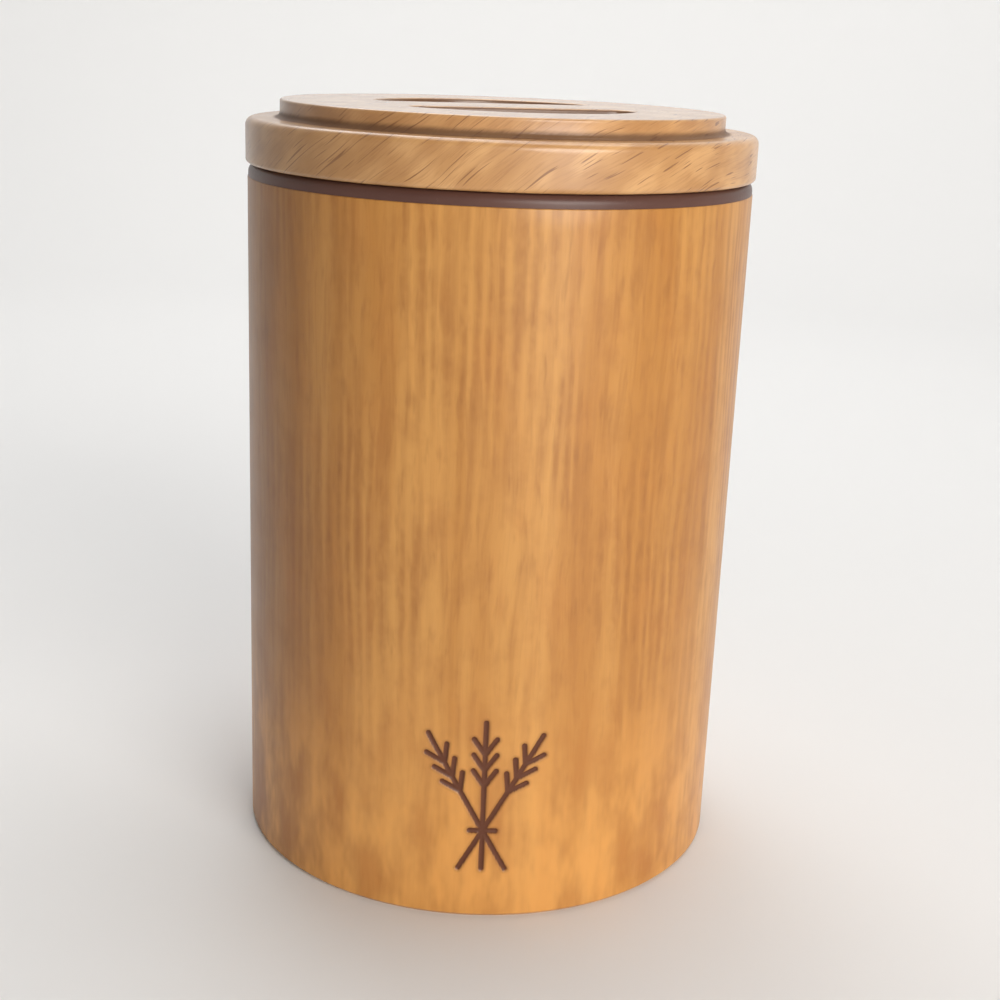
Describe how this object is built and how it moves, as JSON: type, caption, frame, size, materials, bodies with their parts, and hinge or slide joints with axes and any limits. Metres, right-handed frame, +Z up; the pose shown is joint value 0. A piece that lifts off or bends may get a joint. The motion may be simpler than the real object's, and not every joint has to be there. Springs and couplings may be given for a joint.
{
  "type": "food canister",
  "caption": "Round wooden food canister: laminated wood tube, lift-out plastic liner with a rolled rim, and a turned stepped lid with a recessed grip bar and a soft seal.",
  "frame": {"origin": "centre of the foot, on the surface that the canister stands on", "axes": "+Z up along the canister's axis; -Y is the front, which carries the mark; +X is to the right seen from the front"},
  "size_m": [0.1612, 0.1612, 0.242],
  "materials": {
    "face_wood": "clear semi-gloss lacquer on a golden-brown stained veneer, grain upright",
    "ply_wood": "bare plywood, sanded",
    "lid_wood": "clear semi-gloss lacquer on solid hardwood with short dark rays",
    "plug_wood": "thinly sealed hardwood",
    "liner_plastic": "brown moulded plastic, softly glossy",
    "seal_rubber": "soft matt rubber",
    "screw_steel": "zinc-plated steel"
  },
  "bodies": {
    "wooden_body": {"face_veneer": "face_wood", "core_ply": "ply_wood", "inner_ply": "ply_wood", "base_panel": "ply_wood"},
    "liner": {"liner": "liner_plastic"},
    "seal": {"lid_seal": "seal_rubber"},
    "lid": {"lid_board": "lid_wood", "lid_plug": "plug_wood", "plug_screws": "screw_steel"}
  },
  "joints": [
    {"name": "liner_lift", "type": "slide", "parent": "wooden_body", "child": "liner", "axis": [0, 0, 1], "range_m": [0, 0.22]},
    {"name": "lid_lift", "type": "slide", "parent": "liner", "child": "seal", "axis": [0, 0, 1], "range_m": [0, 0.12]},
    {"name": "lid_turn", "type": "hinge", "parent": "seal", "child": "lid", "pos_m": [0, 0, 0.2225], "axis": [0, 0, 1], "continuous": true}
  ]
}
